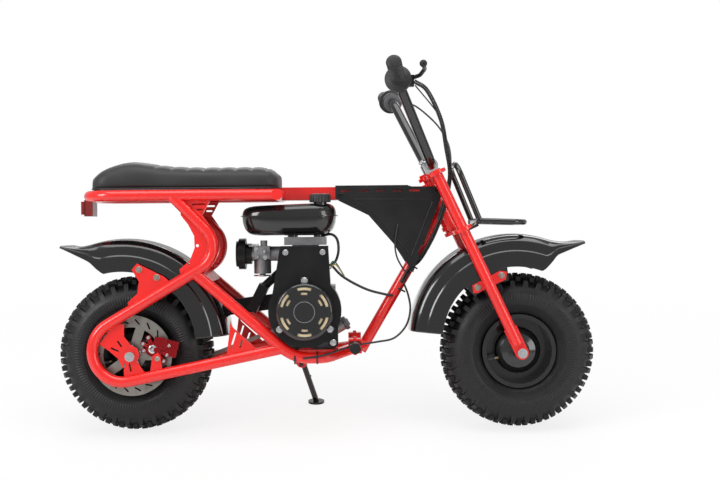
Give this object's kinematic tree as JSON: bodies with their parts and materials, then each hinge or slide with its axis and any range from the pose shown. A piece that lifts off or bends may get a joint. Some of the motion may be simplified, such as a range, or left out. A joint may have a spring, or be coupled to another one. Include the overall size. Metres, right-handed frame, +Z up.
{
  "type": "mini dirt bike",
  "caption": "Small off-road two-wheeler: red bent-tube frame, black fenders, fat knobby tyres, a pull-start engine with chain drive and a rear disc brake, leaning on its side stand.",
  "frame": {"origin": "on the floor under the middle of the bounding box, without the lean taken out", "axes": "+X forward, +Y to the rider's left, +Z up; the bike leans 9 degrees towards +Y"},
  "size_m": [1.2348, 0.6659, 0.8607],
  "materials": {
    "frame_red": "gloss",
    "black_paint": "gloss",
    "tyre_rubber": "matte",
    "rubber": "matte",
    "vinyl": "matte",
    "fender_black": "gloss",
    "cover_black": "matte",
    "alloy": "cast",
    "chrome": "polished",
    "steel": "zinc",
    "lens": "gloss",
    "anodised": "metallic"
  },
  "bodies": {
    "frame": {"seat_rail": "frame_red", "left_stay": "frame_red", "right_stay": "frame_red", "left_cradle": "frame_red", "right_cradle": "frame_red", "down_tube": "frame_red", "backbone": "frame_red", "head_tube": "frame_red", "frame_plates": "frame_red", "foot_pegs": "black_paint", "seat": "vinyl", "rear_fender": "fender_black", "side_covers": "cover_black", "tail_light": "lens", "engine_block": "alloy", "blower_housing": "fender_black", "recoil_starter": "fender_black", "fuel_tank": "fender_black", "fuel_cap": "cover_black", "carburettor": "alloy", "air_cleaner": "cover_black", "muffler": "black_paint", "engine_sprocket": "steel", "chain": "steel", "chain_guard": "black_paint", "brake_caliper": "anodised", "rear_axle": "steel", "harness": "rubber", "control_cables": "rubber"},
    "steering": {"left_fork_leg": "frame_red", "right_fork_leg": "frame_red", "fork_clamps": "frame_red", "handlebar": "black_paint", "bar_clamps": "chrome", "grips": "rubber", "bar_controls": "cover_black", "front_rack": "black_paint", "front_fender": "fender_black", "front_axle": "steel"},
    "front_wheel_body": {"front_tyre": "tyre_rubber", "front_wheel": "black_paint"},
    "rear_wheel_body": {"rear_tyre": "tyre_rubber", "rear_wheel": "black_paint", "brake_disc": "steel", "wheel_sprocket": "steel"},
    "stand": {"side_stand": "black_paint", "stand_spring": "steel"}
  },
  "joints": [
    {"name": "steering", "type": "hinge", "parent": "frame", "child": "steering", "pos_m": [0.26753, -0.04505, 0.50821], "axis": [-0.4226, 0.1418, 0.8951], "range_deg": [-35, 35], "deforming": ["control_cables"]},
    {"name": "front_wheel_spin", "type": "hinge", "parent": "steering", "child": "front_wheel_body", "pos_m": [0.44, -0.09754, 0.17679], "axis": [0, 0.9877, -0.1564], "continuous": true},
    {"name": "rear_wheel_spin", "type": "hinge", "parent": "frame", "child": "rear_wheel_body", "pos_m": [-0.44, -0.09754, 0.17679], "axis": [0, 0.9877, -0.1564], "continuous": true},
    {"name": "side_stand_swing", "type": "hinge", "parent": "frame", "child": "stand", "pos_m": [-0.064, 0.02733, 0.115], "axis": [0.114, 0.9149, 0.3872], "range_deg": [0, 100], "deforming": ["stand_spring"]}
  ]
}
